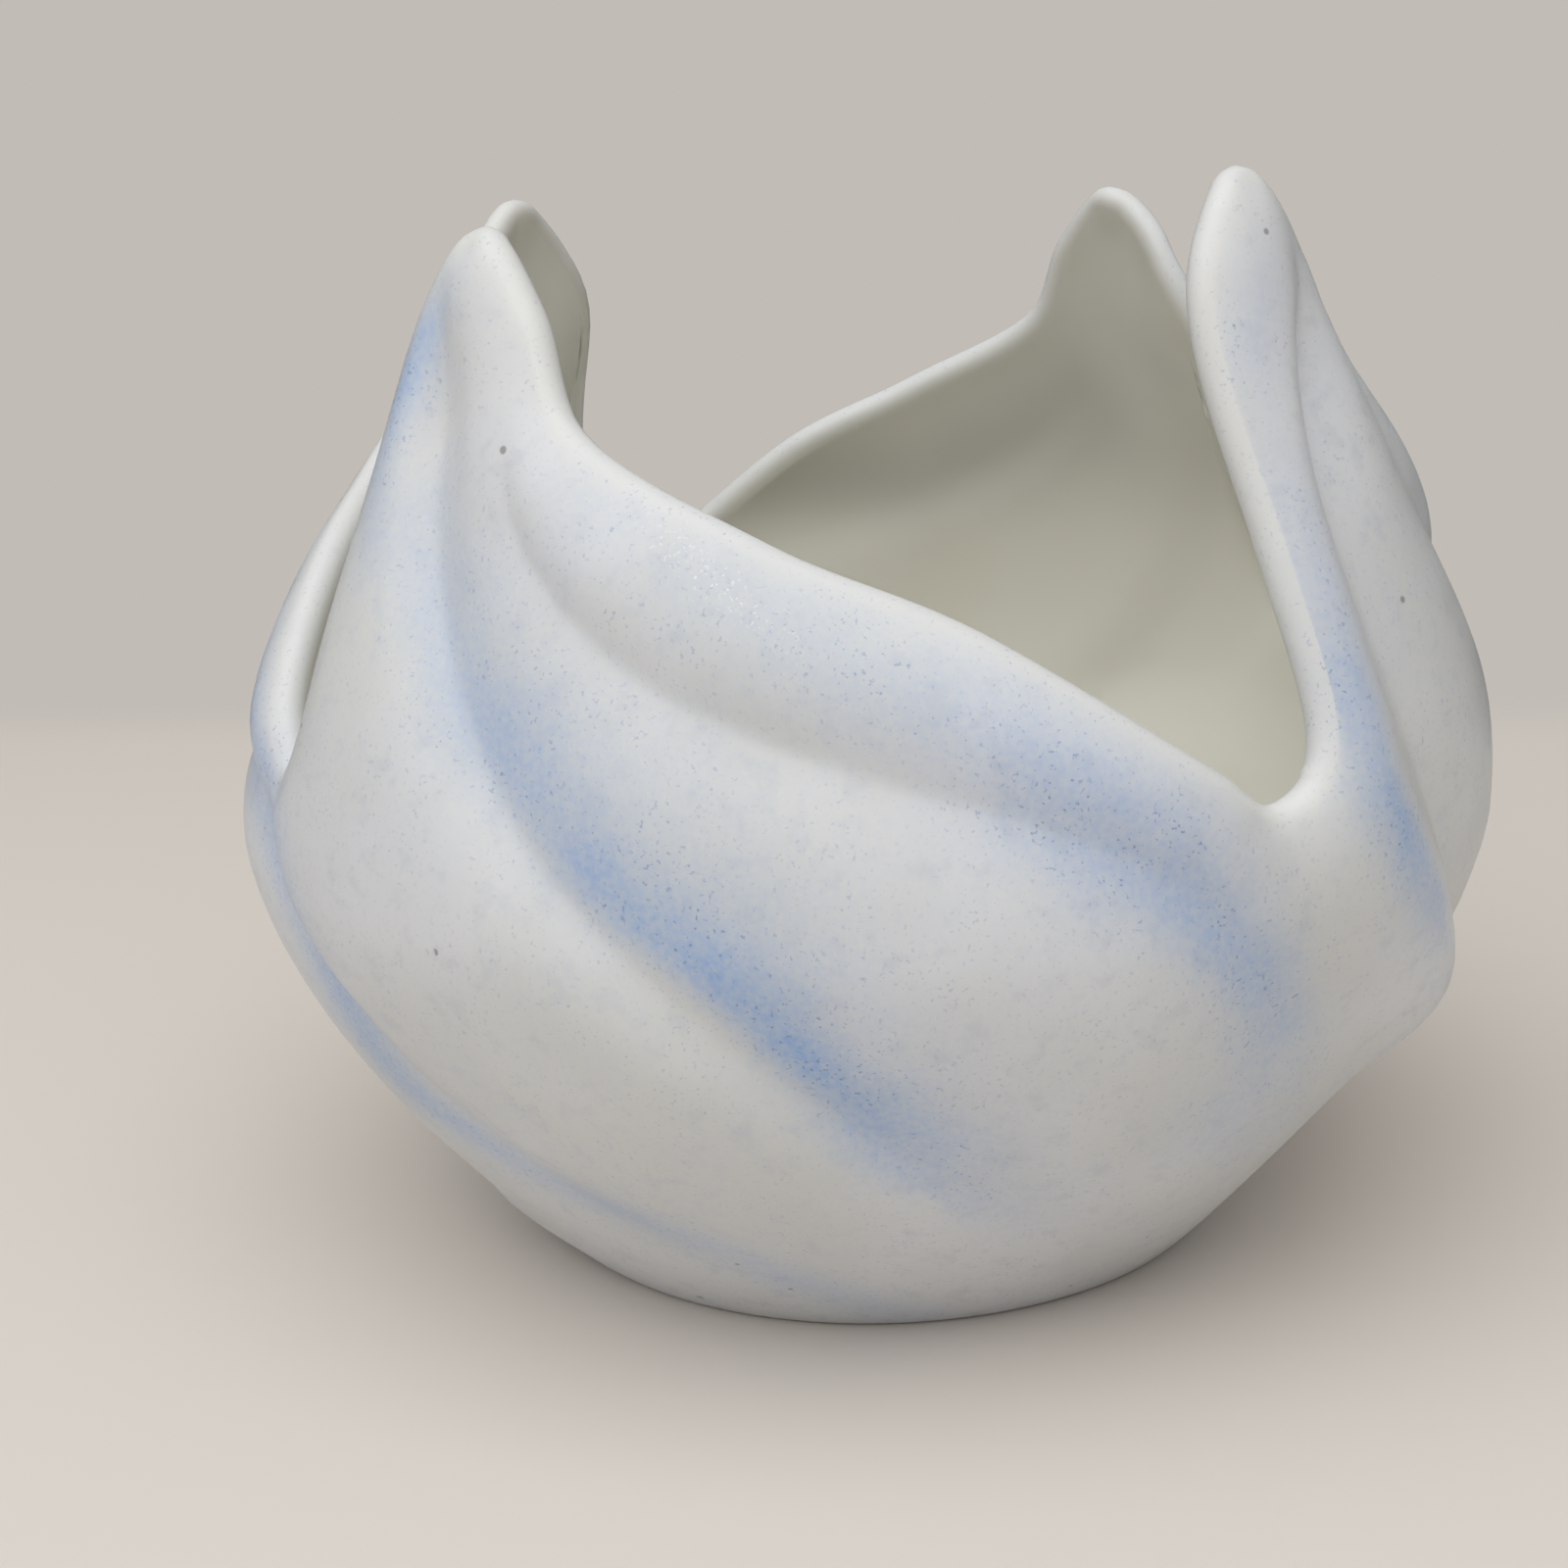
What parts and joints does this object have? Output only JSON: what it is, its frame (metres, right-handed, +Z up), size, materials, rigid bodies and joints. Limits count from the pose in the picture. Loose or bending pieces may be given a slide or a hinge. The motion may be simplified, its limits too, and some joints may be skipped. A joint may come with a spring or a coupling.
{
  "type": "bowl planter",
  "caption": "Round ceramic planter bowl whose wall swirls up into blunt leaf tips with V-shaped gaps between them, for a small potted plant.",
  "frame": {"origin": "middle of the foot, on the surface that the bowl stands on", "axes": "+Z up out of the mouth; +X and +Y level, each through one of the gaps between two leaves"},
  "size_m": [0.1464, 0.1462, 0.1212],
  "materials": {
    "glazed_ceramic": "satin off-white glaze with soft pale blue sprayed into the grooves and greenish grey inside"
  },
  "bodies": {
    "root": {"bowl_body": "glazed_ceramic"}
  },
  "joints": []
}
